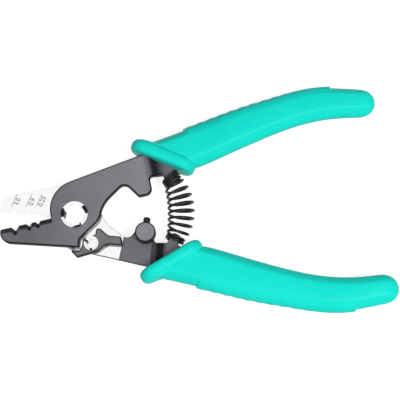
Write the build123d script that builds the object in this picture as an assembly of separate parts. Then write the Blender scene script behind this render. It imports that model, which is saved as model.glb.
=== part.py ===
from build123d import *
from math import cos, pi, radians, sin, tan
import os

# Fibre stripper with three notches: two joggled steel halves on a hollow pivot.
# The part lies open. The origin is on the pivot axis, where the two blades meet. X runs to the handles
# and Z is up through the front blade. Both halves are one stamping. It is drawn as it lies in the shut
# tool, where the line between the blades is the X axis, and each half is swung open by half the opening.

# Opening, degrees
open_angle = 17.5
half_open = open_angle / 2

# Stamping
plate_thickness = 3.0
blade_gap = 0.06
edge_break = 0.5
hub_radius = 9.9
shoulder_radius = 12.5
hub_corner_reach = 9.5
hub_corner_drop = 4.9
hub_corner_radius = 6.0

# Jaw
jaw_reach = 32.0
jaw_tip_drop = 5.1
jaw_tip_radius = 4.8
jaw_heel_drop = 14.2
blade_overlap = 1.1
knife_run = 2.5
nose_round = 0.6

# Notches: the share of the jaw from the hub at which each stands, the opening left between the shut
# blades, and the included angle
jacket_place_share = 0.715
jacket_opening = 1.6
buffer_place_share = 0.443
buffer_opening = 0.5
coating_place_share = 0.2715
coating_opening = 0.2
notch_angle = 84

# Heel beside the latch
heel_width = 1.2
heel_rise = 10.8
heel_edge = 0.1

# Arm between the hub and the joggle
arm_shoulder_height = 12.9
arm_end_height = 19.3
arm_end_back = 1.95
hollow_reach = 13.0
hollow_height = 2.0
hollow_radius = 14.0
hollow_top_reach = 23.4
hollow_top_height = 8.7
hollow_top_radius = 2.8

# Stop lobe
lobe_reach = 30.6
lobe_height = 5.5
lobe_flat_height = 1.4
lobe_width = 7.4
lobe_round = 1.2
lobe_corner_radius = 3.0
neck_height = 8.9
neck_round = 1.4

# Joggle that brings both tangs to the middle height
joggle_gap = 1.15
joggle_run = 3.4

# Tang inside the grip
tang_reach = 106.0
tang_end_height = 25.4
tang_end_width = 6.4
tang_root_width = 9.4

# Spring tongue
tongue_gap = 3.55
tongue_seat_height = 8.4
tongue_tilt = 25
tongue_width = 4.2
tongue_length = 3.9

# Pivot sleeve
pivot_bore_radius = 4.4
pivot_wall = 0.65
pivot_lip_radius = 5.65
pivot_head_radius = 6.9
rivet_head_thickness = 0.9
running_clearance = 0.05
slit_width = 3.0
slit_depth = 1.9
slit_angles = (-75, 25, 172)

# Latch
latch_pivot_reach = 8.3
latch_pivot_drop = 11.6
latch_bore_radius = 2.1
latch_wall = 0.45
latch_lip_radius = 3.05
latch_head_radius = 3.4
latch_thickness = 2.6
latch_swing = 10
latch_rim = 0.65
latch_tail_reach = 13.4
latch_head_rise = 6.5
latch_tail_rise = 3.8
latch_tail_slant = 1.3
latch_foot_reach = 5.3
latch_foot_drop = 6.5
latch_nose_reach = 8.4
latch_nose_drop = 3.2
latch_nose_width = 1.6
latch_nose_thickness = 1.5
latch_recess_drop = 3.8
latch_edge_break = 0.45
catch_clearance = 0.3

# Stop post and screw
post_radius = 4.35
post_height = 5.0
post_spigot_radius = 2.4
screw_radius = 1.5
screw_lift = 1.6
screw_gap = 0.1
screw_socket = 1.5

# Return spring
wire_radius = 0.55
spring_end_radius = 3.4
spring_middle_radius = 5.4
spring_swell_share = 0.6
open_coils = 8
close_coils_upper = 3
close_coils_lower = 2
spring_start_angle = -75
steps_per_turn = 8
wire_sides = 8
spring_seat_gap = 0.12

# Grips
grip_lap = 0.55
grip_length = 101.6
grip_start_height = 14.4
grip_rise = 10.7
grip_width = 19.4
grip_thickness = 12.4
grip_end_radius = 4.2
collar_gap = 3.0
collar_height = 16.6
collar_tilt = 35.6
collar_length = 29.0
collar_depth = 15.4
collar_width = 5.6
pad_lift = 0.8
pad_width = 9.5
pad_sink = 0.7
pad_start_share = 0.175
pad_end_share = 0.82
grip_corner_share = 0.45


def outline(corners):
    """Flat face whose corners are (x, y, radius)."""
    points = [(x, y) for x, y, radius in corners]
    return make_face(FilletPolyline(*points, radius=[radius for x, y, radius in corners], close=True))


def prism(face, low, high):
    """The face made solid between two heights."""
    return extrude(Pos(0, 0, low) * face, high - low)


def disc(reach, height, radius):
    """Round face at a point."""
    return Pos(reach, height) * Circle(radius)


def turned(shape, angle, reach=0, height=0):
    """The shape turned about an upright axis through a point."""
    return Pos(reach, height) * Rot(0, 0, angle) * Pos(-reach, -height) * shape


def front(shape):
    """From the shut tool to the front half as it lies open."""
    return Rot(0, 0, half_open) * shape


def rear(shape):
    """From the shut tool to the rear half as it lies open."""
    return Rot(0, 0, -half_open) * shape


def flipped(shape):
    """The same stamping or moulding turned over for the other half."""
    return Rot(180, 0, 0) * shape


face_height = blade_gap / 2
plate_top = face_height + plate_thickness
joggle_reach = lobe_reach + lobe_width / 2 + joggle_gap
joggle_end = joggle_reach + joggle_run
tongue_reach = joggle_end + tongue_gap
collar_reach = joggle_end + collar_gap
grip_start = joggle_reach + grip_lap
overrun = plate_thickness
notch_slope = tan(radians(notch_angle / 2))

# Stamping


def knife_line():
    """Cutting edge with its notches, from the hub to the jaw's tip, as it lies on the flat face."""
    corners = [(-hub_radius, blade_overlap, 0)]
    for share, opening in (
        (coating_place_share, coating_opening),
        (buffer_place_share, buffer_opening),
        (jacket_place_share, jacket_opening),
    ):
        reach = hub_radius + share * (jaw_reach - hub_radius)
        mouth = (blade_overlap + opening / 2) * notch_slope
        corners += [
            (-reach + mouth, blade_overlap, 0),
            (-reach, -opening / 2, 0),
            (-reach - mouth, blade_overlap, 0),
        ]
    return corners + [(-jaw_reach, blade_overlap, nose_round)]


def stamping_outline():
    """The blank as it is cut, seen from the front in the shut tool."""
    neck_reach = lobe_reach + lobe_width / 2
    seat_slope = tan(radians(tongue_tilt))
    seat_start = tongue_reach + (neck_height - tongue_seat_height) / seat_slope
    seat_end = joggle_end + tang_root_width
    heel_corner = heel_edge - heel_width
    corners = knife_line()
    corners += [
        (-jaw_reach, -jaw_tip_drop, jaw_tip_radius),
        (heel_corner, -jaw_heel_drop, 0),
        (heel_edge, -heel_rise, nose_round),
        (hub_corner_reach, -hub_corner_drop, hub_corner_radius),
        (hollow_reach, hollow_height, hollow_radius),
        (hollow_top_reach, hollow_top_height, hollow_top_radius),
        (lobe_reach - lobe_width / 3, lobe_flat_height, lobe_round),
        (neck_reach, lobe_flat_height, lobe_corner_radius),
        (neck_reach, neck_height, neck_round),
        (seat_start, neck_height, 0),
        (seat_end, tongue_seat_height + (seat_end - tongue_reach) * seat_slope, 0),
        (tang_reach, tang_end_height - tang_end_width / 2, tang_end_width / 3),
        (tang_reach, tang_end_height + tang_end_width / 2, tang_end_width / 3),
        (joggle_reach - arm_end_back, arm_end_height, hub_radius),
        (-hub_radius, arm_shoulder_height, shoulder_radius),
    ]
    return outline(corners)


def tongue():
    """Flat tongue that stands in the end of the spring."""
    blade = outline(
        [
            (-tongue_width / 2, tongue_width / 2, 0),
            (tongue_width / 2, tongue_width / 2, 0),
            (tongue_width / 2, -tongue_length, tongue_width / 3),
            (-tongue_width / 2, -tongue_length, tongue_width / 3),
        ]
    )
    return Pos(tongue_reach, tongue_seat_height) * Rot(0, 0, tongue_tilt) * blade


def joggled_sheet():
    """Sheet as wide as the tool that steps down from the blade's height to the middle."""
    low = -plate_thickness / 2
    ends = (-2 * jaw_reach, joggle_reach, joggle_end, 2 * tang_reach)
    bottom = list(zip(ends, (face_height, face_height, low, low)))
    section = bottom + [(x, z + plate_thickness) for x, z in reversed(bottom)]
    radii = [0, plate_thickness, plate_thickness, 0, 0, plate_thickness, plate_thickness, 0]
    side = make_face(FilletPolyline(*section, radius=radii, close=True))
    return extrude(Plane.XZ * side, tang_reach / 2, both=True)


def knife_cut():
    """What the grinder takes off along the notched edge: it leans back from the flat face."""
    clear = -jaw_reach - overrun
    above = [(clear, blade_overlap, 0), (clear, hub_radius, 0), (-hub_radius, hub_radius, 0)]
    face = outline(knife_line()[:-1] + above)
    lean = overrun + plate_thickness
    run = knife_run * lean / plate_thickness
    return Pos(0, 0, face_height) * extrude(face, lean, dir=(0, -run, lean))


def stamping():
    """One half's steel plate, in the shut tool, as the front half."""
    blank = extrude(stamping_outline() + tongue(), tang_reach / 2, both=True)
    plate = blank & joggled_sheet()
    front_rim = plate.faces().sort_by(Axis.Z)[-1].edges().sort_by(Axis.X)[:-1]
    return chamfer(front_rim, edge_break) - knife_cut()


def heel_pocket():
    """Pocket in the back of the heel for the latch's nose, in the shut tool."""
    swung = turned(latch_nose_outline(), -latch_swing, latch_pivot_reach, -latch_pivot_drop)
    at_heel = offset(turned(swung, -open_angle), catch_clearance)
    return prism(at_heel, 0, face_height + latch_nose_thickness + catch_clearance)


def front_plate():
    """Half with the countersunk hub, from the upper handle to the lower jaw."""
    plate = stamping()
    barrel_radius = pivot_bore_radius + pivot_wall
    hole = prism(Circle(barrel_radius + running_clearance), 0, plate_top)
    flare = pivot_lip_radius - barrel_radius
    seat = Pos(0, 0, plate_top - flare / 2) * Cone(
        barrel_radius + running_clearance, pivot_lip_radius + running_clearance, flare
    )
    return front(plate - hole - seat - heel_pocket())


def rear_plate():
    """The stamping turned over, with holes for the pivot, the latch's rivet and the post."""
    plate = flipped(stamping())
    holes = disc(0, 0, pivot_bore_radius + pivot_wall)
    holes += disc(latch_pivot_reach, -latch_pivot_drop, latch_bore_radius + latch_wall)
    holes += disc(lobe_reach, -lobe_height, post_spigot_radius)
    return rear(plate - prism(holes, -plate_top, 0))


# Hollow rivets


def hollow_rivet(bore, wall, lip, head, top):
    """Turned sleeve through both layers: a flat head behind, a flared lip in front."""
    barrel = bore + wall
    profile = [
        (bore, top),
        (lip, top),
        (barrel, top - (lip - barrel)),
        (barrel, -plate_top),
        (head, -plate_top),
        (head, -plate_top - rivet_head_thickness),
        (bore, -plate_top - rivet_head_thickness),
    ]
    radii = [wall / 2, 0, 0, 0, 0, wall / 2, wall / 2]
    section = make_face(FilletPolyline(*profile, radius=radii, close=True))
    return revolve(Plane.XZ * section, Axis.Z)


def pivot_sleeve():
    """Hollow pivot whose flared lip is slit in three places."""
    sleeve = hollow_rivet(pivot_bore_radius, pivot_wall, pivot_lip_radius, pivot_head_radius, plate_top)
    slit = Pos(pivot_lip_radius, 0, plate_top) * Box(2 * slit_depth, slit_width, 2 * slit_depth)
    for angle in slit_angles:
        sleeve -= Rot(0, 0, angle) * slit
    return rear(sleeve)


def latch_sleeve():
    """Small hollow rivet that the latch turns on."""
    top = face_height + latch_thickness
    sleeve = hollow_rivet(latch_bore_radius, latch_wall, latch_lip_radius, latch_head_radius, top)
    return rear(Pos(latch_pivot_reach, -latch_pivot_drop) * sleeve)


# Latch


def nose_corners():
    """Top corners of the latch's tip, from its pivot."""
    left = (-latch_nose_reach, -latch_nose_drop, latch_nose_width / 3)
    right = (latch_nose_width - latch_nose_reach, -latch_nose_drop, latch_nose_width / 3)
    return [left, right]


def latch_nose_outline():
    """Tip of the latch that swings up behind the heel."""
    left, right = nose_corners()
    root = -latch_recess_drop - latch_nose_width / 2
    corners = [left, right, (right[0], root, 0), (left[0] + latch_nose_width / 2, root, 0)]
    return Pos(latch_pivot_reach, -latch_pivot_drop) * outline(corners)


def latch_outline():
    """Latch without its nose, seen from the front, from its pivot: head and tail right, foot left."""
    disc_radius = latch_lip_radius + latch_rim
    corners = [
        (-latch_nose_reach, -latch_recess_drop, nose_round),
        (-latch_foot_reach + nose_round, -latch_recess_drop, nose_round),
        (-disc_radius, -disc_radius / 3, nose_round),
        (-disc_radius, disc_radius / 2, disc_radius / 2),
        (latch_head_rise / 5, disc_radius, nose_round),
        (latch_head_rise / 4, latch_head_rise, nose_round),
        (latch_head_rise / 2, latch_head_rise, disc_radius / 2),
        (latch_tail_reach / 2, latch_tail_rise, disc_radius),
        (latch_tail_reach - latch_tail_slant, latch_tail_rise, nose_round),
        (latch_tail_reach, 0, nose_round),
        (latch_tail_reach / 2, 0, disc_radius),
        (latch_tail_reach / 4, -disc_radius + nose_round, disc_radius),
        (-latch_foot_reach, -latch_foot_drop, nose_round),
    ]
    return outline(corners)


def latch():
    """Lever that lies on the rear plate and turns on its own rivet."""
    bore = latch_bore_radius + latch_wall + running_clearance
    top = face_height + latch_thickness
    lip = latch_lip_radius + running_clearance
    lever = prism(latch_outline(), face_height, top)
    lever = chamfer(lever.faces().sort_by(Axis.Z)[-1].edges(), latch_edge_break)
    lever -= prism(Circle(bore), 0, top)
    lever -= Pos(0, 0, top - (lip - bore) / 2) * Cone(bore, lip, lip - bore)
    lever = Pos(latch_pivot_reach, -latch_pivot_drop) * lever
    nose = prism(latch_nose_outline(), face_height, face_height + latch_nose_thickness)
    return rear(lever + nose)


# Stop


def stop_post():
    """Round post riveted through the rear plate's lobe, with a cross hole for the screw."""
    post = prism(Circle(post_radius), -face_height, post_height)
    post = chamfer(post.edges().sort_by(Axis.Z)[-1], edge_break)
    post += prism(Circle(post_spigot_radius), -plate_top, 0)
    hole = Rot(90, 0, 0) * Cylinder(screw_radius + running_clearance, 4 * post_radius)
    return rear(Pos(lobe_reach, -lobe_height) * (post - Pos(0, 0, screw_lift) * hole))


def stop_screw():
    """Set screw with a domed tip that the front lobe's flat meets when the tool is shut."""
    tip = lobe_flat_height - screw_gap
    tail = -lobe_height - post_radius + edge_break
    side = [(0, tail), (screw_radius, tail), (screw_radius, tip), (0, tip)]
    rounds = [0, screw_radius / 4, screw_radius / 2, 0]
    section = make_face(FilletPolyline(*side, radius=rounds, close=True))
    screw = revolve(section, Axis.Y)
    socket = Plane.XZ * RegularPolygon(screw_socket / 2, 6)
    screw -= Pos(0, tail, 0) * extrude(socket, screw_socket, both=True)
    return rear(Pos(lobe_reach, 0, screw_lift) * screw)


# Grips

grip_station_shares = [
    (0.0, 0.0, 1.0, 1.0),
    (0.1, 0.165, 0.97, 0.99),
    (0.175, 0.29, 0.94, 0.97),
    (0.27, 0.44, 0.9, 0.93),
    (0.41, 0.67, 0.86, 0.89),
    (0.55, 0.87, 0.8, 0.87),
    (0.67, 0.99, 0.765, 0.86),
    (0.76, 0.96, 0.735, 0.86),
    (0.82, 0.88, 0.715, 0.85),
    (0.92, 0.7, 0.675, 0.84),
    (1.0, 0.52, 0.65, 0.82),
]


def grip_stations():
    """Planes across the grip with the width and thickness at each."""
    places = [
        Vector(grip_start + along * grip_length, grip_start_height + rise * grip_rise)
        for along, rise, width, thickness in grip_station_shares
    ]
    stations = []
    for number, place in enumerate(places):
        before = places[max(number - 1, 0)]
        after = places[min(number + 1, len(places) - 1)]
        along = (after - before).normalized()
        plane = Plane(place, x_dir=(-along.Y, along.X, 0), z_dir=along)
        width, thickness = grip_station_shares[number][2:]
        stations.append((plane, width * grip_width, thickness * grip_thickness))
    return stations


def grip_body(stations):
    """Tapering oval body with a round end."""
    body = loft([
        plane * RectangleRounded(width, thick, thick * grip_corner_share)
        for plane, width, thick in stations
    ])
    end = body.faces().sort_by(Axis.X)[-1]
    return fillet(end.edges(), grip_end_radius)


def grip_pad(stations):
    """Raised pad along the outer side, for the fingers."""
    sections = []
    for (plane, width, thick), (along, *sizes) in zip(stations, grip_station_shares):
        if pad_start_share <= along <= pad_end_share:
            shift = width / 2 + pad_lift - pad_width / 2
            section = RectangleRounded(pad_width, thick - 2 * pad_sink, pad_width * grip_corner_share)
            sections.append(plane * Pos(shift, 0) * section)
    return loft(sections)


def grip():
    """Moulded sleeve on the tang, cut off behind its fat slanted collar."""
    stations = grip_stations()
    slant = radians(collar_tilt)
    mouth = Plane(
        (collar_reach, collar_height, 0),
        x_dir=(cos(slant), -sin(slant), 0),
        z_dir=(-sin(slant), -cos(slant), 0),
    )
    body = split(grip_body(stations) + grip_pad(stations), mouth, keep=Keep.BOTTOM)
    section = mouth * RectangleRounded(collar_length, collar_depth, collar_depth * grip_corner_share)
    ring = extrude(section, collar_width / 2, both=True)
    across = ring.faces().sort_by(Axis(mouth.origin, mouth.z_dir))
    rims = across[0].edges() + across[-1].edges()
    return body + fillet(rims, collar_width * grip_corner_share)


def upper_grip():
    """Grip on the front plate's tang."""
    return front(grip() - stamping())


def lower_grip():
    """The same moulding turned over on the rear plate's tang."""
    return flipped(upper_grip())


# Return spring


def spring_turns(length):
    """Places along the spring's line and its radius there, one for each part of a turn."""
    wire = 2 * wire_radius
    close_pitch = wire * (1 + spring_seat_gap / 2)
    open_length = length - (close_coils_upper + close_coils_lower) * close_pitch
    turns = close_coils_upper + open_coils + close_coils_lower
    places = []
    for step in range(turns * steps_per_turn + 1):
        turn = step / steps_per_turn
        opened = min(max(turn - close_coils_upper, 0), open_coils) / open_coils
        closed = min(turn, close_coils_upper) + max(turn - close_coils_upper - open_coils, 0)
        along = closed * close_pitch + opened * open_length
        swell = sin(pi * opened) ** spring_swell_share
        radius = spring_end_radius + (spring_middle_radius - spring_end_radius) * swell
        places.append((along, radius, 2 * pi * turn + radians(spring_start_angle)))
    return places


def return_spring():
    """Barrel spring whose line bends between the two tongues of the open tool."""
    seat = front(Location((tongue_reach, tongue_seat_height, 0))).position
    tilt = radians(tongue_tilt + half_open)
    bend_radius = seat.Y / sin(tilt)
    bend_centre = seat.X - bend_radius * cos(tilt)
    end_room = wire_radius + spring_seat_gap
    length = 2 * tilt * bend_radius - 2 * end_room
    points = []
    for along, radius, angle in spring_turns(length):
        bend = tilt - (end_room + along) / bend_radius
        reach = bend_radius + radius * cos(angle)
        points.append((bend_centre + reach * cos(bend), reach * sin(bend), radius * sin(angle)))
    path = Spline(*points)
    wire = Plane(path @ 0, z_dir=path % 0) * RegularPolygon(wire_radius, wire_sides)
    return sweep(wire, path, is_frenet=True)


nodes = {
    "front_plate": front_plate(),
    "rear_plate": rear_plate(),
    "upper_grip": upper_grip(),
    "lower_grip": lower_grip(),
    "pivot_sleeve": pivot_sleeve(),
    "latch": latch(),
    "latch_sleeve": latch_sleeve(),
    "stop_post": stop_post(),
    "stop_screw": stop_screw(),
    "return_spring": return_spring(),
}

os.makedirs("parts", exist_ok=True)
for name, shape in nodes.items():
    export_step(shape, f"parts/{name}.step")
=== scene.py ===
import math
import bmesh
import bpy
from mathutils import Matrix, Vector


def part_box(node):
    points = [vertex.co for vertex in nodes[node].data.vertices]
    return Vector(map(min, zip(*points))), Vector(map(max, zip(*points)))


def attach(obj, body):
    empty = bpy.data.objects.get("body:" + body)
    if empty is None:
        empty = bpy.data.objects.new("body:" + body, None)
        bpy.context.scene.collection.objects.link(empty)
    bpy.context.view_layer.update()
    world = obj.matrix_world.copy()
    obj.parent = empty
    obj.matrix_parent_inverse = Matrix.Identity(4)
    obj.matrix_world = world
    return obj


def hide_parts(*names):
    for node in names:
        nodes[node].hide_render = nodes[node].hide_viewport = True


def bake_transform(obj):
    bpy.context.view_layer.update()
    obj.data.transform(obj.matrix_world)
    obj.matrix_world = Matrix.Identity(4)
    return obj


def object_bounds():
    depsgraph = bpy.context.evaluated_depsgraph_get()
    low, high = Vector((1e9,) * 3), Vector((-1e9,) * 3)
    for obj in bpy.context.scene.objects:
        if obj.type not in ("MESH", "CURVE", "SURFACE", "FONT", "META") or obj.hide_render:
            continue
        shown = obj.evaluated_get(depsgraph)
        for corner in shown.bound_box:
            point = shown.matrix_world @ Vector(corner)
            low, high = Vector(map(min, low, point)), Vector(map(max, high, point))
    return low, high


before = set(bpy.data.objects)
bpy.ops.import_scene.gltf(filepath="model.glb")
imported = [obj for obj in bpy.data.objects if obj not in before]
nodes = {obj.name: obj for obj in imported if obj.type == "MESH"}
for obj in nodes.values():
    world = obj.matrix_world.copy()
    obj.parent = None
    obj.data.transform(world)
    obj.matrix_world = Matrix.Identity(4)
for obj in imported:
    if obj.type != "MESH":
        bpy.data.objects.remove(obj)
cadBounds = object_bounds()
mm = 0.001
halfOpen = 8.75  # degrees each half is turned from the shut tool
print("loaded the tool,", len(nodes), "solids")


def frontTurn():
    return Matrix.Rotation(math.radians(halfOpen), 4, "Z")


def rearTurn():
    return Matrix.Rotation(math.radians(-halfOpen), 4, "Z")


def addToScene(piece):
    bpy.context.scene.collection.objects.link(piece)
    return piece


def meshPiece(name, mesh, material, smooth=True):
    mesh.materials.clear()
    mesh.materials.append(material)
    for face in mesh.polygons:
        face.use_smooth = smooth
    return addToScene(bpy.data.objects.new(name, mesh))


def bmeshPiece(name, bm, material, smooth=True):
    mesh = bpy.data.meshes.new(name)
    bm.to_mesh(mesh)
    bm.free()
    return meshPiece(name, mesh, material, smooth)


def meshFromCurve(curve):  # a text or a wire as a plain mesh
    holder = addToScene(bpy.data.objects.new(curve.name, curve))
    bpy.context.view_layer.update()
    mesh = bpy.data.meshes.new_from_object(holder.evaluated_get(bpy.context.evaluated_depsgraph_get()))
    bpy.data.objects.remove(holder)
    return mesh


def finishWith(node, material):  # the solid keeps its shape and only gets a better finish
    solid = nodes[node]
    if not solid.material_slots:
        solid.data.materials.append(material)
    for slot in solid.material_slots:
        slot.link = "OBJECT"
        slot.material = material


cameraView = {
    "lookAt": (53.32 * mm, 2.9 * mm, 0.0),
    "distance": 400 * mm,
    "tilt": 13.0,  # degrees from straight above, towards the bottom of the picture
    "roll": 4.25,  # degrees the tool is turned against the picture's edge
    "lens": 84.53, "sensor": 36,
    "near": 0.01, "far": 20,
}


def setCamera(view=cameraView):
    camera = addToScene(bpy.data.objects.new("camera", bpy.data.cameras.new("camera")))
    camera.data.sensor_width = view["sensor"]
    camera.data.lens = view["lens"]
    camera.data.clip_start = view["near"]
    camera.data.clip_end = view["far"]
    turn = (Matrix.Rotation(math.radians(-view["roll"]), 4, "Z")
            @ Matrix.Rotation(math.radians(view["tilt"]), 4, "X"))
    eye = Vector(view["lookAt"]) + turn @ Vector((0, 0, view["distance"]))
    camera.matrix_world = Matrix.Translation(eye) @ turn
    bpy.context.scene.camera = camera


setCamera()
bpy.context.scene.view_settings.view_transform = "Standard"
print("camera set")


def feed(tree, socket, value):  # a node's output is linked, a number is set
    if isinstance(value, bpy.types.NodeSocket):
        tree.links.new(value, socket)
    else:
        socket.default_value = value


def feedAll(tree, node, values):
    for label, value in values.items():
        feed(tree, node.inputs[label], value)
    return node


def mathNode(tree, operation, first, second=None, clamp=False):
    node = tree.nodes.new("ShaderNodeMath")
    node.operation = operation
    node.use_clamp = clamp
    feed(tree, node.inputs[0], first)
    if second is not None:
        feed(tree, node.inputs[1], second)
    return node.outputs[0]


def product(tree, *values):
    result = values[0]
    for value in values[1:]:
        result = mathNode(tree, "MULTIPLY", result, value)
    return result


def noiseNode(tree, vector, scale, detail, roughness=0.5):
    node = feedAll(tree, tree.nodes.new("ShaderNodeTexNoise"),
                   {"Vector": vector, "Scale": scale, "Detail": detail, "Roughness": roughness})
    return node.outputs["Fac"]


def stretched(tree, vector, scale, turn):
    # stretched coordinates, for marks that run one way
    node = feedAll(tree, tree.nodes.new("ShaderNodeMapping"),
                   {"Vector": vector, "Scale": scale, "Rotation": (0, 0, math.radians(turn))})
    return node.outputs[0]


def spread(tree, value, low, high, newLow=0.0, newHigh=1.0):
    node = feedAll(tree, tree.nodes.new("ShaderNodeMapRange"),
                   {"Value": value, "From Min": low, "From Max": high, "To Min": newLow, "To Max": newHigh})
    return node.outputs[0]


def mixColour(tree, factor, first, second):
    node = tree.nodes.new("ShaderNodeMix")
    node.data_type = "RGBA"
    for place, value in ((0, factor), (6, first), (7, second)):  # the sockets of a colour mix
        feed(tree, node.inputs[place], (*value, 1.0) if isinstance(value, tuple) else value)
    return node.outputs[2]


def coordinates(tree, kind="Object"):
    return tree.nodes.new("ShaderNodeTexCoord").outputs[kind]


def separated(tree, vector):
    return tuple(feedAll(tree, tree.nodes.new("ShaderNodeSeparateXYZ"), {"Vector": vector}).outputs)


def newGroup(name, inputs, outputs):
    group = bpy.data.node_groups.new(name, "ShaderNodeTree")
    for label, value in inputs.items():
        socket = group.interface.new_socket(label, in_out="INPUT", socket_type="NodeSocketFloat")
        socket.default_value = value
    for label in outputs:
        group.interface.new_socket(label, in_out="OUTPUT", socket_type="NodeSocketFloat")
    return group, group.nodes.new("NodeGroupInput").outputs, group.nodes.new("NodeGroupOutput")


def buildCutEdgeGroup(rimMatch=(0.995, 0.93)):
    # 0 on the flat faces of a plate, 1 on its cut sides and in a thin line along its rims, which shows where
    # the rounded normal no longer matches the true one; the materials paint shade with this mask
    group, given, out = newGroup("cutSideShade", {"Start": 0.985, "End": 0.8, "Rim Width": 0.65 * mm},
                                 ("Mask", "Rim"))
    upright = separated(group, coordinates(group, "Normal"))[2]
    side = spread(group, mathNode(group, "ABSOLUTE", upright), given["Start"], given["End"])
    rounded = feedAll(group, group.nodes.new("ShaderNodeBevel"), {"Radius": given["Rim Width"]})
    rounded.samples = 6
    match = group.nodes.new("ShaderNodeVectorMath")
    match.operation = "DOT_PRODUCT"
    feed(group, match.inputs[0], rounded.outputs[0])
    feed(group, match.inputs[1], group.nodes.new("ShaderNodeNewGeometry").outputs["Normal"])
    rimShade = spread(group, match.outputs["Value"], *rimMatch)
    feedAll(group, out, {"Mask": mathNode(group, "MAXIMUM", side, rimShade), "Rim": rimShade})
    return group


def buildSlotGroup():
    # a straight slot that runs outwards from a round sleeve's centre, the mask for painting shade into it
    group, given, out = newGroup("slotShadeMask", {"Centre X": 0.0, "Centre Y": 0.0, "Angle": 0.0,
                                                "Half": 1.0 * mm, "From": 1.0 * mm}, ("Mask",))
    placeX, placeY = separated(group, coordinates(group))[:2]
    x = mathNode(group, "SUBTRACT", placeX, given["Centre X"])
    y = mathNode(group, "SUBTRACT", placeY, given["Centre Y"])
    turn = mathNode(group, "RADIANS", given["Angle"])
    cosine, sine = mathNode(group, "COSINE", turn), mathNode(group, "SINE", turn)
    along = mathNode(group, "ADD", product(group, x, cosine), product(group, y, sine))
    across = mathNode(group, "SUBTRACT", product(group, y, cosine), product(group, x, sine))
    near = mathNode(group, "LESS_THAN", mathNode(group, "ABSOLUTE", across), given["Half"])
    past = mathNode(group, "GREATER_THAN", along, given["From"])
    feed(group, out.inputs["Mask"], product(group, near, past))
    return group


def buildGrainGroup():
    # fine grain for a blasted or moulded surface, as a height and a slow blotch
    group, given, out = newGroup("fineGrain", {"Grain Scale": 2500.0, "Blotch Scale": 60.0},
                                 ("Height", "Blotch"))
    place = coordinates(group)
    feedAll(group, out, {"Height": noiseNode(group, place, given["Grain Scale"], detail=2.0),
                         "Blotch": noiseNode(group, place, given["Blotch Scale"], detail=4.0, roughness=0.6)})
    return group


hairlineRubs = {
    # how the noise is stretched, its turn in degrees, and the noise from which a line shows
    "along": ((60, 1400, 1400), 20, 0.68),
    "across": ((80, 1100, 1100), -35, 0.7),
    "soft": 0.08,  # how much more noise makes the line full
}


def buildScratchGroup(rubs=hairlineRubs):
    # sparse hairline rubs that run along and across the tool
    group, given, out = newGroup("hairlines", {"Amount": 0.5}, ("Mask",))
    lines = []
    for stretch, turn, shows in (rubs["along"], rubs["across"]):
        noise = noiseNode(group, stretched(group, coordinates(group), stretch, turn), scale=1.0, detail=2.0)
        lines.append(spread(group, noise, shows, shows + rubs["soft"]))
    both = mathNode(group, "MAXIMUM", *lines)
    feed(group, out.inputs["Mask"], mathNode(group, "MULTIPLY", both, given["Amount"], clamp=True))
    return group


cutSideShade = buildCutEdgeGroup()
slotShadeMask = buildSlotGroup()
fineGrain = buildGrainGroup()
hairlines = buildScratchGroup()


def newMaterial(name, values):
    material = bpy.data.materials.new(name)
    material.use_nodes = True
    tree = material.node_tree
    return material, tree, feedAll(tree, tree.nodes["Principled BSDF"], values)


def placeGroup(tree, group, values):
    node = tree.nodes.new("ShaderNodeGroup")
    node.node_tree = group
    return feedAll(tree, node, values)


blotchRange = (0.3, 0.7)  # the part of the blotch noise that is spread between two tones


def addGrain(tree, shader, grain):
    # the fine grain becomes a bump, and the blotch is given back for the colours and the roughness
    texture = placeGroup(tree, fineGrain, {"Grain Scale": grain["scale"], "Blotch Scale": grain["blotch"]})
    bump = feedAll(tree, tree.nodes.new("ShaderNodeBump"),
                   {"Height": texture.outputs["Height"],
                    "Distance": grain["depth"], "Strength": grain["strength"]})
    tree.links.new(bump.outputs[0], shader.inputs["Normal"])
    return texture.outputs["Blotch"]


def byBlotch(tree, blotch, low=0.0, high=1.0):
    return spread(tree, blotch, *blotchRange, low, high)


oxidePlate = {
    "gloss": 0.06, "metallic": 0.45, "roughness": (0.34, 0.44),
    "grain": {"scale": 2600.0, "blotch": 70.0, "depth": 0.01 * mm, "strength": 0.35},
    "toneRun": (-22 * mm, 34 * mm), "toneShare": 0.86,  # the face grows lighter from the jaws to the tang
    # the near black of the painted shade at the tang's step
    "tang": (0.05, 0.049, 0.056),
    # painted shade: the near black of cut sides, sloped steps and rims
    "cut": (0.012, 0.012, 0.014),
    "rub": 0.25, "rubbed": (0.27, 0.27, 0.29),
    "polish": (0.93, 0.93, 0.94), "polishGloss": 0.27,  # the gloss is taken off the roughness
    "boundary": ((20.0 * mm, -10.7 * mm), (17.3 * mm, -20.3 * mm)),  # where the ground band stops
    "boundarySoft": 0.05 * mm,
    "groundFacing": (0.9, 0.98),               # how squarely a ground face looks up or down
    "groundLevel": (-0.25 * mm, -0.15 * mm),   # how near it lies to the meeting plane
    "rimRun": (-5 * mm, 5 * mm), "rimShadeShare": (0.1, 0.85),  # its rim keeps more of the painted rim shade behind the pivot
}
# side is 1 when the ground band looks up and -1 when it looks down, cutLean is the upright share of the
# normal at which a side or a sloped step is painted near black as shade, and step says where the painted
# shade at the tang's step starts, is full, gives way and ends, in millimetres, and what is left of it past
# that
frontOxide = {
    "side": -1, "cutLean": 0.9,
    "face": ((0.12, 0.117, 0.13), (0.235, 0.228, 0.25)),
    "step": (32.4, 36.4, 38.9, 42.0, 0.45),
}
rearOxide = {
    "side": 1, "cutLean": 0.93,
    "face": ((0.1, 0.098, 0.108), (0.15, 0.147, 0.163)),
    "step": (33.2, 33.6, 38.6, 40.5, 0.15),
}


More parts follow.
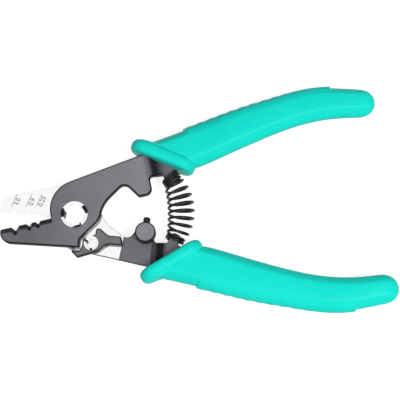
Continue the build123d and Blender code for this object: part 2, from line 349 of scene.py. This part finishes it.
def stepShadeBand(tree, x, y, half):
    # painted shade: blacker at and beside the tang's step to the middle plane, where the slope and nearby
    # parts shade it, measured along the shut tool
    turned = math.radians(halfOpen)
    along = mathNode(tree, "SUBTRACT", product(tree, x, math.cos(turned)),
                     product(tree, y, half["side"] * math.sin(turned)))
    start, full, back, end, rest = half["step"]
    return product(tree, spread(tree, along, start * mm, full * mm),
                   spread(tree, along, back * mm, end * mm, 1.0, rest))


def groundBand(tree, place, rimShade, side, plate=oxidePlate):
    # the ground band lies on the meeting face, from the jaws to a slanted line behind the latch
    x, y, z = place
    (startX, startY), (endX, endY) = plate["boundary"]
    slant = side * (endX - startX) / (endY - startY)
    lean = product(tree, mathNode(tree, "SUBTRACT", y, side * startY), slant)
    reach = mathNode(tree, "SUBTRACT", mathNode(tree, "ADD", lean, startX), x)
    band = spread(tree, reach, -plate["boundarySoft"], plate["boundarySoft"])
    upright = separated(tree, coordinates(tree, "Normal"))[2]
    facing = spread(tree, product(tree, upright, side), *plate["groundFacing"])
    level = spread(tree, product(tree, z, side), *plate["groundLevel"])
    # the painted rim shade takes the polish off the band's rims
    wearAndRimShade = product(tree, rimShade, spread(tree, x, *plate["rimRun"], *plate["rimShadeShare"]))
    return product(tree, band, facing, level, mathNode(tree, "SUBTRACT", 1.0, wearAndRimShade))


def plateFinish(name, half, plate=oxidePlate):
    material, tree, shader = newMaterial(name, {"Specular IOR Level": plate["gloss"]})
    blotch = addGrain(tree, shader, plate["grain"])
    edge = placeGroup(tree, cutSideShade, {"End": half["cutLean"]}).outputs
    rubs = placeGroup(tree, hairlines, {"Amount": plate["rub"]})
    place = separated(tree, coordinates(tree))
    tone = mathNode(tree, "ADD", spread(tree, place[0], *plate["toneRun"], 0.0, plate["toneShare"]),
                    byBlotch(tree, blotch, 0.0, 1 - plate["toneShare"]))
    face = mixColour(tree, tone, *half["face"])
    face = mixColour(tree, stepShadeBand(tree, *place[:2], half), face, plate["tang"])
    face = mixColour(tree, rubs.outputs["Mask"], face, plate["rubbed"])
    # cut sides, sloped steps and rims are painted near black as shade, and lose their metal sheen so they
    # stay dark
    shadedSides = mixColour(tree, edge["Mask"], face, plate["cut"])
    ground = groundBand(tree, place, edge["Rim"], half["side"])
    metallic = spread(tree, edge["Mask"], 0, 1, plate["metallic"], 0.0)
    satin = byBlotch(tree, blotch, *plate["roughness"])
    feedAll(tree, shader, {
        "Base Color": mixColour(tree, ground, shadedSides, plate["polish"]),
        "Metallic": mathNode(tree, "MAXIMUM", ground, metallic),
        "Roughness": mathNode(tree, "SUBTRACT", satin, product(tree, ground, plate["polishGloss"])),
    })
    return material


plainMetals = {  # cut is the near black painted as shade on cut sides and rims, on the pieces that have them
    "blackSteelLatch": {"light": (0.17, 0.17, 0.172), "dark": (0.13, 0.13, 0.134), "cut": (0.02, 0.02, 0.022),
                        "roughness": 0.4, "metallic": 0.35, "gloss": 0.05, "rub": 0.3},
    "turnedPost": {"light": (0.24, 0.232, 0.255), "dark": (0.2, 0.196, 0.215), "cut": (0.014, 0.014, 0.016),
                   "roughness": 0.34, "metallic": 0.45, "gloss": 0.05, "rub": 0.3},
    "blackScrew": {"light": (0.022, 0.022, 0.024), "dark": (0.012, 0.012, 0.013), "cut": None,
                   "roughness": 0.42, "metallic": 0.4, "gloss": 0.25, "rub": 0.3},
    "springWire": {"light": (0.02, 0.02, 0.022), "dark": (0.009, 0.009, 0.01), "cut": None,
                   "roughness": 0.28, "metallic": 0.6, "gloss": 0.3, "rub": 0.5},
    "markInk": {"light": (0.1, 0.1, 0.105), "dark": (0.06, 0.06, 0.064), "cut": None,
                "roughness": 0.6, "metallic": 0.0, "gloss": 0.5, "rub": 0.1},
}
plainGrain = {
    "grain": {"scale": 2200.0, "blotch": 140.0, "depth": 0.008 * mm, "strength": 0.3},
    "wornGain": 1.35, "wornLift": 0.02,  # how much lighter a rub is than the face
    "roughnessSpan": (-0.04, 0.06),
}


def plainMetal(name, shared=plainGrain):
    metal = plainMetals[name]
    material, tree, shader = newMaterial(name, {"Specular IOR Level": metal["gloss"],
                                                "Metallic": metal["metallic"]})
    blotch = addGrain(tree, shader, shared["grain"])
    rubs = placeGroup(tree, hairlines, {"Amount": metal["rub"]})
    wearAndRimShade = tuple(min(1.0, value * shared["wornGain"] + shared["wornLift"]) for value in metal["light"])
    face = mixColour(tree, byBlotch(tree, blotch), metal["dark"], metal["light"])
    face = mixColour(tree, rubs.outputs["Mask"], face, wearAndRimShade)
    if metal["cut"]:
        # cut sides and rims are painted near black as shade, and lose their metal sheen so they stay dark
        edge = placeGroup(tree, cutSideShade, {}).outputs["Mask"]
        face = mixColour(tree, edge, face, metal["cut"])
        feed(tree, shader.inputs["Metallic"], spread(tree, edge, 0, 1, metal["metallic"], 0.0))
    satin = byBlotch(tree, blotch, *(metal["roughness"] + change for change in shared["roughnessSpan"]))
    feedAll(tree, shader, {"Base Color": face, "Roughness": satin})
    return material


def middleOf(node):  # where a round piece's axis stands, seen from above
    low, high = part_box(node)
    return ((low + high) / 2)[:2]


# the slots' angles in degrees, their half width, and how far from the centre they start; the pivot's slots
# lie over its cut slits, the latch rivet's are painted shade only
sleeveSlots = {
    "pivot": {"centre": (0.0, 0.0), "angles": (-75, 25, 172), "half": 1.5 * mm, "from": 3.6 * mm},
    "latch": {"centre": middleOf("latch_sleeve"), "angles": (150, -95), "half": 0.55 * mm, "from": 1.9 * mm},
}
brightSleeve = {
    # slot is painted shade, the dark of a recess seen down a slot
    "dark": (0.84, 0.84, 0.85), "light": (0.9, 0.9, 0.9), "slot": (0.03, 0.03, 0.032),
    "roughness": 0.16, "slotRoughness": 0.5,
    "grain": {"scale": 1500.0, "blotch": 140.0, "depth": 0.006 * mm, "strength": 0.3},
}


def sleeveFinish(name, slots, sleeve=brightSleeve):
    material, tree, shader = newMaterial(name, {"Metallic": 1.0})
    blotch = addGrain(tree, shader, sleeve["grain"])
    bright = mixColour(tree, byBlotch(tree, blotch), sleeve["dark"], sleeve["light"])
    shadedSlots = 0.0
    for angle in slots["angles"]:
        slot = placeGroup(tree, slotShadeMask, {"Centre X": slots["centre"][0], "Centre Y": slots["centre"][1],
                                             "Angle": angle, "Half": slots["half"], "From": slots["from"]})
        shadedSlots = mathNode(tree, "MAXIMUM", shadedSlots, slot.outputs["Mask"])
    feedAll(tree, shader, {
        "Base Color": mixColour(tree, shadedSlots, bright, sleeve["slot"]),
        "Roughness": spread(tree, shadedSlots, 0, 1, sleeve["roughness"], sleeve["slotRoughness"]),
    })
    return material


gripPlastic = {
    "dark": (0.008, 0.72, 0.6), "light": (0.011, 0.77, 0.65),
    "gloss": 0.045, "roughness": (0.28, 0.36),
    "grain": {"scale": 3200.0, "blotch": 45.0, "depth": 0.012 * mm, "strength": 0.25},
}


def gripFinish(plastic=gripPlastic):
    material, tree, shader = newMaterial("tealGrip", {"Specular IOR Level": plastic["gloss"]})
    blotch = addGrain(tree, shader, plastic["grain"])
    feedAll(tree, shader, {
        "Base Color": mixColour(tree, byBlotch(tree, blotch), plastic["dark"], plastic["light"]),
        "Roughness": byBlotch(tree, blotch, *plastic["roughness"]),
    })
    return material


tealGrip = gripFinish()
springSteel = plainMetal("springWire")
markInk = plainMetal("markInk")
finishes = {
    "front_plate": plateFinish("blackSteelFront", frontOxide),
    "rear_plate": plateFinish("blackSteelRear", rearOxide),
    "latch": plainMetal("blackSteelLatch"),
    "stop_post": plainMetal("turnedPost"),
    "stop_screw": plainMetal("blackScrew"),
    "pivot_sleeve": sleeveFinish("brightPivot", sleeveSlots["pivot"]),
    "latch_sleeve": sleeveFinish("brightLatchRivet", sleeveSlots["latch"]),
    "return_spring": springSteel, "upper_grip": tealGrip, "lower_grip": tealGrip,
}
for node, material in finishes.items():
    finishWith(node, material)
print("finishes made")


# The grips are one moulding, drawn in millimetres on the shut tool and turned open for each half.
gripShape = {
    # inner edge, outer edge and thickness of the body
    "keys": (
        ((54.3, 8.95), (38.5, 24.0), 12.6),
        ((58.6, 9.35), (47.4, 25.2), 12.1),
        ((66.5, 10.95), (57.6, 26.8), 11.9),
        ((73.5, 12.45), (66.3, 28.15), 11.6),
        ((80.9, 13.95), (74.3, 29.4), 11.3),
        ((88.3, 15.4), (82.9, 30.4), 11.0),
        ((95.6, 16.55), (91.6, 31.15), 10.9),
        ((103.0, 17.35), (100.5, 31.8), 10.8),
        ((110.3, 17.55), (109.6, 31.9), 10.7),
        ((117.0, 17.15), (118.0, 31.0), 10.6),
        ((123.2, 16.25), (125.2, 29.2), 10.5),
        ((129.4, 15.05), (131.8, 27.3), 10.2),
    ),
    "fine": 9,               # stations between two keys
    "segments": 48,          # points round a station
    "corner": 0.8, "beadCorner": 0.9,
    "slant": 1.32,           # 2 gives round corners, 1 gives flat slants
    "padFrom": 1.53, "padTo": 9.2,  # counted in keys
    "padRise": 0.06,         # how much of a key the pad's ledge takes
    "ledgeStations": (-0.3, 0, 0.3, 0.7, 1, 1.3),  # extra stations at each ledge, counted in padRise
    "padLift": (1.0, 0.8), "padHalf": 5.2,
    # where the pad fades in towards the outer edge and out towards its sides, each with the share it takes
    "padInner": (0.55, 0.2), "padSide": (0.92, 0.16),
    "waveDepth": 0.3, "wavesPerKey": 1.75, "waveFade": (6.0, 8.0),
    "domeReach": 6.8, "domeFullness": 0.88,  # 1 is a half ball, less is blunter
    "domeAngles": (14, 28, 41, 53, 63, 72, 79, 85),
    "beadCentre": (42.05, 16.46), "beadTilt": 35.6,  # degrees from the tool's length
    "beadLength": 29.5, "beadDepth": 15.2, "beadHalf": 2.75,
    # place across the bead from its mouth, share of its full size
    "bead": ((-1.0, 0.62), (-0.98, 0.76), (-0.87, 0.88), (-0.62, 0.955), (-0.28, 0.99), (0.1, 1.0),
             (0.45, 0.98), (0.75, 0.925), (0.93, 0.85), (1.02, 0.79), (1.12, 0.78)),
    "upperSlide": -0.2, "lowerSlide": 0.45,  # how far each sleeve is pushed out along its tang
    "smoothLevels": 1,
}


def between(values, place):  # a smooth curve through the keys, at a place counted in keys
    first = min(int(place), len(values) - 2)
    part = place - first
    before, start = values[max(first - 1, 0)], values[first]
    end, after = values[first + 1], values[min(first + 2, len(values) - 1)]
    return tuple(0.5 * (2 * b + (c - a) * part + (2 * a - 5 * b + 4 * c - d) * part ** 2
                        + (3 * b - a - 3 * c + d) * part ** 3)
                 for a, b, c, d in zip(before, start, end, after))


def rampUp(value, start, width):  # rises softly from 0 to 1
    share = min(max((value - start) / width, 0.0), 1.0)
    return share * share * (3 - 2 * share)


def padHeight(place, shape=gripShape):
    rise = rampUp(place, shape["padFrom"], shape["padRise"])
    fall = 1 - rampUp(place, shape["padTo"], shape["padRise"])
    fadeFrom, fadeTo = shape["waveFade"]
    fade = 1 - rampUp(place, fadeFrom, fadeTo - fadeFrom)
    wave = 0.5 - 0.5 * math.cos(2 * math.pi * (place - shape["padFrom"]) * shape["wavesPerKey"])
    first, last = shape["padLift"]
    lift = first + (last - first) * (place - shape["padFrom"]) / (shape["padTo"] - shape["padFrom"])
    return (lift - shape["waveDepth"] * (1 - wave) * fade) * rise * fall * mm


def squaredRing(bm, centre, across, width, thick, corner, slant=2.0):
    # a rounded rectangle: across is its long way, its short way is upright, and corner is a share of half
    # its thickness
    radius = corner * thick / 2
    upright = Vector((0, 0, 1))
    turn = Matrix((across, upright, -across.cross(upright))).transposed().to_4x4()
    made = bmesh.ops.create_circle(bm, segments=gripShape["segments"], radius=1.0, cap_ends=False)
    for vert in made["verts"]:
        pull = (abs(vert.co.x) ** slant + abs(vert.co.y) ** slant) ** (-1 / slant)
        x, y = round(vert.co.x * pull, 6), round(vert.co.y * pull, 6)  # so that a middle point has no side
        sideX, sideY = (x > 0) - (x < 0), (y > 0) - (y < 0)
        vert.co = Vector((sideX * (width / 2 - radius) + x * radius,
                          sideY * (thick / 2 - radius) + y * radius, 0))
    bmesh.ops.transform(bm, matrix=Matrix.Translation(centre) @ turn, verts=made["verts"])
    return made["verts"]


def ringEdges(verts):
    wanted = set(verts)
    return [edge for edge in {e for v in verts for e in v.link_edges} if set(edge.verts) <= wanted]


def beadRings(bm, shape=gripShape):
    tilt = math.radians(shape["beadTilt"])
    across = Vector((-math.cos(tilt), math.sin(tilt), 0))
    through = Vector((math.sin(tilt), math.cos(tilt), 0))
    middle = Vector((*shape["beadCentre"], 0))
    return [squaredRing(bm, (middle + through * place * shape["beadHalf"]) * mm, across,
                        (shape["beadLength"] - (1 - size) * shape["beadDepth"]) * mm,
                        shape["beadDepth"] * size * mm, shape["beadCorner"])
            for place, size in shape["bead"]]


def bodyRings(bm, shape=gripShape):
    # gives the last station's middle, direction, half width and thickness too, for the dome
    flat = [(*inner, *outer, thick) for inner, outer, thick in shape["keys"]]
    places = {step / shape["fine"] for step in range((len(flat) - 1) * shape["fine"] + 1)}
    for ledge in (shape["padFrom"], shape["padTo"]):
        places |= {ledge + share * shape["padRise"] for share in shape["ledgeStations"]}
    innerFrom, innerWidth = shape["padInner"]
    sideFrom, sideWidth = shape["padSide"]
    rings = []
    for place in sorted(places):
        values = between(flat, place)
        inner, outer = Vector((*values[:2], 0)) * mm, Vector((*values[2:4], 0)) * mm
        middle, across = (inner + outer) / 2, (outer - inner).normalized()
        half, thick = (outer - inner).length / 2, values[4] * mm
        verts = squaredRing(bm, middle, across, 2 * half, thick, shape["corner"], shape["slant"])
        for vert in verts:
            side = (vert.co - middle).dot(across) / half
            height = abs(vert.co.z) / (shape["padHalf"] * mm)
            reach = rampUp(side, innerFrom, innerWidth) * (1 - rampUp(height, sideFrom, sideWidth))
            vert.co += across * padHeight(place) * reach
        rings.append(verts)
    return rings, middle, across, half, thick


def domeRings(bm, middle, across, half, thick, shape=gripShape):
    forward = across.cross(Vector((0, 0, 1)))
    rings = []
    for angle in shape["domeAngles"]:
        turn = math.radians(angle)
        size = math.cos(turn) ** shape["domeFullness"]
        rings.append(squaredRing(bm, middle + forward * math.sin(turn) * shape["domeReach"] * mm, across,
                                 2 * half * size, thick * size, 1 - (1 - shape["corner"]) * size,
                                 2 - (2 - shape["slant"]) * size))
    return rings


def gripSkin():
    bm = bmesh.new()
    bead = beadRings(bm)
    body, *lastStation = bodyRings(bm)
    rings = bead + body + domeRings(bm, *lastStation)
    for first, second in zip(rings, rings[1:]):
        bmesh.ops.bridge_loops(bm, edges=ringEdges(first) + ringEdges(second))
    for end in (rings[0], rings[-1]):
        bmesh.ops.contextual_create(bm, geom=ringEdges(end))
    bmesh.ops.recalc_face_normals(bm, faces=bm.faces)
    return bm


upperPlace = Matrix.Translation((gripShape["upperSlide"] * mm, 0, 0))
lowerPlace = Matrix.Rotation(math.pi, 4, "X") @ Matrix.Translation((gripShape["lowerSlide"] * mm, 0, 0))
for name, turn, node, body in (("upperGripSkin", frontTurn() @ upperPlace, "upper_grip", "front_half"),
                               ("lowerGripSkin", rearTurn() @ lowerPlace, "lower_grip", "rear_half")):
    bm = gripSkin()
    bmesh.ops.transform(bm, matrix=turn, verts=bm.verts)
    skin = bmeshPiece(name, bm, tealGrip)
    smooth = skin.modifiers.new("smooth", "SUBSURF")
    smooth.levels = smooth.render_levels = gripShape["smoothLevels"]
    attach(skin, body)
    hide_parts(node)
print("grips moulded")


# Sizes of the three notches, printed thin on the ground face of the rear jaw. All lengths are millimetres.
sizeMarks = {
    "marks": (("3.0", (-23.5, 7.5)), ("0.9", (-17.3, 7.0)), ("0.25", (-12.9, 6.9))),
    "angle": 62.9,                   # degrees the numbers are turned
    "letter": 2.7, "bold": 0.02, "leaderLength": 5.8, "leaderWidth": 0.24, "leaderPlace": 2.3,
    "foot": -0.033, "thick": 0.014,  # the underside's height, and how thick the print is
}


def markShape(text, place, shape=sizeMarks):  # the number with its leader line
    words = bpy.data.curves.new("words", "FONT")
    words.body = text
    words.size = shape["letter"]
    words.align_x = "CENTER"
    words.offset = shape["bold"]
    words.extrude = shape["thick"] / 2
    bm = bmesh.new()
    bm.from_mesh(meshFromCurve(words))
    size = Matrix.Diagonal((shape["leaderLength"], shape["leaderWidth"], shape["thick"], 1))
    bmesh.ops.create_cube(bm, size=1.0, matrix=Matrix.Translation((0, shape["leaderPlace"], 0)) @ size)
    turn = Matrix.Rotation(math.radians(shape["angle"]), 4, "Z")
    spot = Matrix.Translation(Vector((*place, shape["foot"] + shape["thick"] / 2)) * mm)
    bmesh.ops.transform(bm, matrix=spot @ turn @ Matrix.Scale(mm, 4), verts=bm.verts)
    return bm


for number, (text, place) in enumerate(sizeMarks["marks"]):
    mark = bmeshPiece(f"sizeMark{number + 1}", markShape(text, place), markInk, smooth=False)
    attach(mark, "rear_half")
print("size marks printed")


springCoil = {
    "seat": (42.4 * mm, 8.4 * mm),  # foot of the tongue on the shut tool
    "tilt": 25.0,                   # degrees the tongue leans from square to the shut tool
    "wire": 0.57 * mm,              # half the wire's thickness
    "endRadius": 3.75 * mm, "middleRadius": 5.45 * mm, "swell": 0.6,
    "closeFirst": 3, "open": 8, "closeLast": 2,  # turns, from the front half's end
    "startAngle": -75.0,
    "pitch": 1.166 * mm,            # of the closed turns
    "room": 0.67 * mm,              # from the tongue's foot to the middle of the first turn's wire
    "steps": 16,                    # points in a turn
}


def windSpring(shape=springCoil):  # along the bow between the two tongues
    seat = frontTurn() @ Vector((*shape["seat"], 0))
    tilt = math.radians(shape["tilt"] + halfOpen)
    bow = seat.y / math.sin(tilt)
    centre = seat.x - bow * math.cos(tilt)
    length = 2 * tilt * bow - 2 * shape["room"]
    turns = shape["closeFirst"] + shape["open"] + shape["closeLast"]
    openLength = length - (turns - shape["open"]) * shape["pitch"]
    swelling = shape["middleRadius"] - shape["endRadius"]
    points = []
    for step in range(turns * shape["steps"] + 1):
        turn = step / shape["steps"]
        opened = min(max(turn - shape["closeFirst"], 0), shape["open"]) / shape["open"]
        closed = min(turn, shape["closeFirst"]) + max(turn - shape["closeFirst"] - shape["open"], 0)
        along = shape["room"] + closed * shape["pitch"] + opened * openLength
        radius = shape["endRadius"] + swelling * math.sin(math.pi * opened) ** shape["swell"]
        bend = tilt - along / bow
        angle = 2 * math.pi * turn + math.radians(shape["startAngle"])
        reach = bow + radius * math.cos(angle)
        points.append((centre + reach * math.cos(bend), reach * math.sin(bend), radius * math.sin(angle)))
    return points


def wireCurve(name, points, radius):
    curve = bpy.data.curves.new(name, "CURVE")
    curve.dimensions = "3D"
    line = curve.splines.new("NURBS")
    line.points.add(len(points) - 1)
    for point, place in zip(line.points, points):
        point.co = (*place, 1)
    line.order_u = 3
    line.use_endpoint_u = True
    line.resolution_u = 2
    curve.bevel_depth = radius
    curve.bevel_resolution = 3
    curve.use_fill_caps = True
    return curve


springMesh = meshFromCurve(wireCurve("springLine", windSpring(), springCoil["wire"]))
springPiece = meshPiece("springWire", springMesh, springSteel)
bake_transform(springPiece)
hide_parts("return_spring")
print("spring wound,", len(springMesh.polygons), "faces")


studio = {
    "floorSize": 3.0, "floorDrop": 0.2 * mm,  # below the tool's lowest point
    "floorColour": (0.4, 0.4, 0.4, 1), "floorRoughness": 0.9, "floorGloss": 0.1,
    "floorGlow": 0.82,   # makes the floor white where it is seen, and its shadow stays
    "worldLight": 0.2, "worldSeen": 1.0,
    "white": (1, 1, 1, 1),
    "lamps": {
        "keyLamp": {"place": (0.4, -0.32, 0.8), "size": 0.35, "energy": 6.2},
        "fillLamp": {"place": (-0.25, -0.35, 0.8), "size": 0.4, "energy": 2.1},
    },
}


def seenRays(tree):
    # 1 for the camera and for what metal and glass mirror, 0 for the rays that light the tool
    rays = tree.nodes.new("ShaderNodeLightPath").outputs
    return mathNode(tree, "MAXIMUM", rays["Is Camera Ray"],
                    mathNode(tree, "MAXIMUM", rays["Is Glossy Ray"], rays["Is Transmission Ray"]))


def floorFinish():
    material, tree, shader = newMaterial("paleFloor", {"Base Color": studio["floorColour"],
                                                       "Roughness": studio["floorRoughness"],
                                                       "Specular IOR Level": studio["floorGloss"]})
    glow = feedAll(tree, tree.nodes.new("ShaderNodeEmission"),
                   {"Color": studio["white"], "Strength": product(tree, seenRays(tree), studio["floorGlow"])})
    both = tree.nodes.new("ShaderNodeAddShader")
    tree.links.new(shader.outputs[0], both.inputs[0])
    tree.links.new(glow.outputs[0], both.inputs[1])
    tree.links.new(both.outputs[0], tree.nodes["Material Output"].inputs["Surface"])
    return material


bm = bmesh.new()
bmesh.ops.create_grid(bm, x_segments=1, y_segments=1, size=studio["floorSize"])
floorHeight = cadBounds[0].z - studio["floorDrop"]
bmesh.ops.transform(bm, matrix=Matrix.Translation((0, 0, floorHeight)), verts=bm.verts)
floor = bmeshPiece("floor", bm, floorFinish(), smooth=False)

world = bpy.data.worlds.new("studio")
bpy.context.scene.world = world
world.use_nodes = True
tree = world.node_tree
worldStrength = spread(tree, seenRays(tree), 0, 1, studio["worldLight"], studio["worldSeen"])
feedAll(tree, tree.nodes["Background"], {"Color": studio["white"], "Strength": worldStrength})

for name, lamp in studio["lamps"].items():
    light = bpy.data.lights.new(name, "AREA")
    light.size = lamp["size"]
    light.energy = lamp["energy"]
    piece = addToScene(bpy.data.objects.new(name, light))
    piece.location = lamp["place"]
    piece.rotation_euler = (Vector(cameraView["lookAt"]) - piece.location).to_track_quat("-Z", "Y").to_euler()
print("floor and lamps set")
